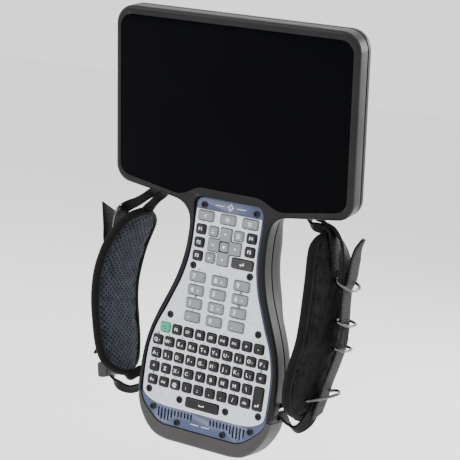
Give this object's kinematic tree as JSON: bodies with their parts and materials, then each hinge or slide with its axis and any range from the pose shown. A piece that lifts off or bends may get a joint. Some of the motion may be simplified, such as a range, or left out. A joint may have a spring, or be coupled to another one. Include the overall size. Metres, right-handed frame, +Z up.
{
  "type": "data collector",
  "caption": "Hand-held surveying data collector: wide tilted display head on a waisted handle with a full keypad, and a padded hand strap on each side.",
  "frame": {"origin": "centre of the rear face of the pole mount plate on the neck", "axes": "+Z up along the handle, +Y out of the rear face of the pole mount plate, +X to the right of a person who reads the keypad"},
  "size_m": [0.1833, 0.067, 0.2892],
  "materials": {
    "housing_plastic": "fine spark-eroded texture, dark grey",
    "cap_plastic": "soft-touch grey overmould, slightly warm",
    "rubber": "matt black silicone",
    "glass_black": "polished cover glass, black behind",
    "panel_dark": "black display module",
    "circuit_board": "green solder mask",
    "ceramic": "unglazed ceramic, pale",
    "blue_plate": "satin blue paint",
    "silver_overlay": "satin silver, fine grain",
    "grey_key": "satin silver-grey key",
    "green_key": "satin green key",
    "brown_key": "satin dark grey-brown key",
    "black_key": "satin black key",
    "black_screw": "black oxide",
    "battery_case": "moulded black case",
    "steel": "stainless, brushed",
    "lens_glass": "dark coated lens",
    "strap_fabric": "black cloth over foam, grey spacer mesh inside",
    "webbing": "ribbed black polyester webbing"
  },
  "bodies": {
    "case": {"front_housing": "housing_plastic", "rear_housing": "housing_plastic", "bottom_cap": "cap_plastic", "housing_gasket": "rubber", "keypad_mat": "rubber", "display_glass": "glass_black", "display_panel": "panel_dark", "main_board": "circuit_board", "keypad_board": "circuit_board", "gnss_antenna": "ceramic", "camera_flash": "ceramic", "faceplate": "blue_plate", "keypad_overlay": "silver_overlay", "speaker_left": "black_key", "speaker_right": "black_key", "plate_screw_01": "black_screw", "plate_screw_02": "black_screw", "plate_screw_03": "black_screw", "plate_screw_04": "black_screw", "plate_screw_05": "black_screw", "plate_screw_06": "black_screw", "plate_screw_07": "black_screw", "plate_screw_08": "black_screw", "plate_screw_09": "black_screw", "plate_screw_10": "black_screw", "plate_screw_11": "black_screw", "plate_screw_12": "black_screw", "plate_screw_13": "black_screw", "plate_screw_14": "black_screw", "battery_pack": "battery_case", "pole_mount_plate": "steel", "data_port": "steel", "strap_pin_left_upper": "steel", "strap_pin_left_lower": "steel", "strap_pin_right_upper": "steel", "strap_pin_right_lower": "steel", "camera_lens": "lens_glass"},
    "power_key": {"power_key": "green_key"},
    "back_key": {"back_key": "grey_key"},
    "home_key": {"home_key": "grey_key"},
    "recent_apps_key": {"recent_apps_key": "grey_key"},
    "select_key": {"select_key": "grey_key"},
    "enter_key": {"enter_key": "brown_key"},
    "return_key": {"return_key": "black_key"},
    "space_key": {"space_key": "black_key"},
    "f1_key": {"f1_key": "black_key"},
    "f2_key": {"f2_key": "black_key"},
    "f3_key": {"f3_key": "black_key"},
    "f4_key": {"f4_key": "black_key"},
    "f5_key": {"f5_key": "black_key"},
    "direction_pad": {"direction_pad": "grey_key"},
    "stylus": {"stylus": "black_key"},
    "battery_door": {"battery_door": "housing_plastic"},
    "battery_latch": {"battery_latch": "cap_plastic"},
    "port_cover": {"port_cover": "rubber"},
    "strap_left": {"strap_pad_left": "strap_fabric", "strap_webbing_left": "webbing"},
    "strap_right": {"strap_pad_right": "strap_fabric", "strap_webbing_right": "webbing"}
  },
  "joints": [
    {"name": "power_key_press", "type": "slide", "parent": "case", "child": "power_key", "axis": [0, 1, 0], "range_m": [0, 0.0008], "stiffness_N_per_m": 1200},
    {"name": "back_key_press", "type": "slide", "parent": "case", "child": "back_key", "axis": [0, 1, 0], "range_m": [0, 0.0008], "stiffness_N_per_m": 1200},
    {"name": "home_key_press", "type": "slide", "parent": "case", "child": "home_key", "axis": [0, 1, 0], "range_m": [0, 0.0008], "stiffness_N_per_m": 1200},
    {"name": "recent_apps_key_press", "type": "slide", "parent": "case", "child": "recent_apps_key", "axis": [0, 1, 0], "range_m": [0, 0.0008], "stiffness_N_per_m": 1200},
    {"name": "select_key_press", "type": "slide", "parent": "case", "child": "select_key", "axis": [0, 1, 0], "range_m": [0, 0.0008], "stiffness_N_per_m": 1200},
    {"name": "enter_key_press", "type": "slide", "parent": "case", "child": "enter_key", "axis": [0, 1, 0], "range_m": [0, 0.0008], "stiffness_N_per_m": 1200},
    {"name": "return_key_press", "type": "slide", "parent": "case", "child": "return_key", "axis": [0, 1, 0], "range_m": [0, 0.0008], "stiffness_N_per_m": 1200},
    {"name": "space_key_press", "type": "slide", "parent": "case", "child": "space_key", "axis": [0, 1, 0], "range_m": [0, 0.0008], "stiffness_N_per_m": 1200},
    {"name": "f1_key_press", "type": "slide", "parent": "case", "child": "f1_key", "axis": [0, 1, 0], "range_m": [0, 0.0008], "stiffness_N_per_m": 1200},
    {"name": "f2_key_press", "type": "slide", "parent": "case", "child": "f2_key", "axis": [0, 1, 0], "range_m": [0, 0.0008], "stiffness_N_per_m": 1200},
    {"name": "f3_key_press", "type": "slide", "parent": "case", "child": "f3_key", "axis": [0, 1, 0], "range_m": [0, 0.0008], "stiffness_N_per_m": 1200},
    {"name": "f4_key_press", "type": "slide", "parent": "case", "child": "f4_key", "axis": [0, 1, 0], "range_m": [0, 0.0008], "stiffness_N_per_m": 1200},
    {"name": "f5_key_press", "type": "slide", "parent": "case", "child": "f5_key", "axis": [0, 1, 0], "range_m": [0, 0.0008], "stiffness_N_per_m": 1200},
    {"name": "direction_pad_tilt", "type": "hinge", "parent": "case", "child": "direction_pad", "pos_m": [0, -0.03305, 0.01], "axis": [1, 0, 0], "range_deg": [-3.5, 3.5], "stiffness_Nm_per_rad": 0.2},
    {"name": "stylus_draw", "type": "slide", "parent": "case", "child": "stylus", "axis": [-1, 0, 0], "range_m": [0, 0.1]},
    {"name": "battery_door_hinge", "type": "hinge", "parent": "case", "child": "battery_door", "pos_m": [0, -0.01025, -0.0922], "axis": [-1, 0, 0], "range_deg": [0, 100]},
    {"name": "battery_latch_slide", "type": "slide", "parent": "battery_door", "child": "battery_latch", "axis": [0, 0, -1], "range_m": [0, 0.004], "stiffness_N_per_m": 200},
    {"name": "port_cover_hinge", "type": "hinge", "parent": "case", "child": "port_cover", "pos_m": [-0.0058, -0.02325, -0.1256], "axis": [0, -1, 0], "range_deg": [0, 95], "stiffness_Nm_per_rad": 0.002, "springref_deg": -2.86},
    {"name": "strap_left_swing", "type": "hinge", "parent": "case", "child": "strap_left", "pos_m": [-0.049, -0.02105, -0.09], "axis": [-0.0633, -0.0612, 0.9961], "range_deg": [-20, 20], "deforming": ["strap_webbing_left"]},
    {"name": "strap_right_swing", "type": "hinge", "parent": "case", "child": "strap_right", "pos_m": [0.049, -0.02105, -0.09], "axis": [0.0633, -0.0612, 0.9961], "range_deg": [-20, 20], "deforming": ["strap_webbing_right"]}
  ]
}
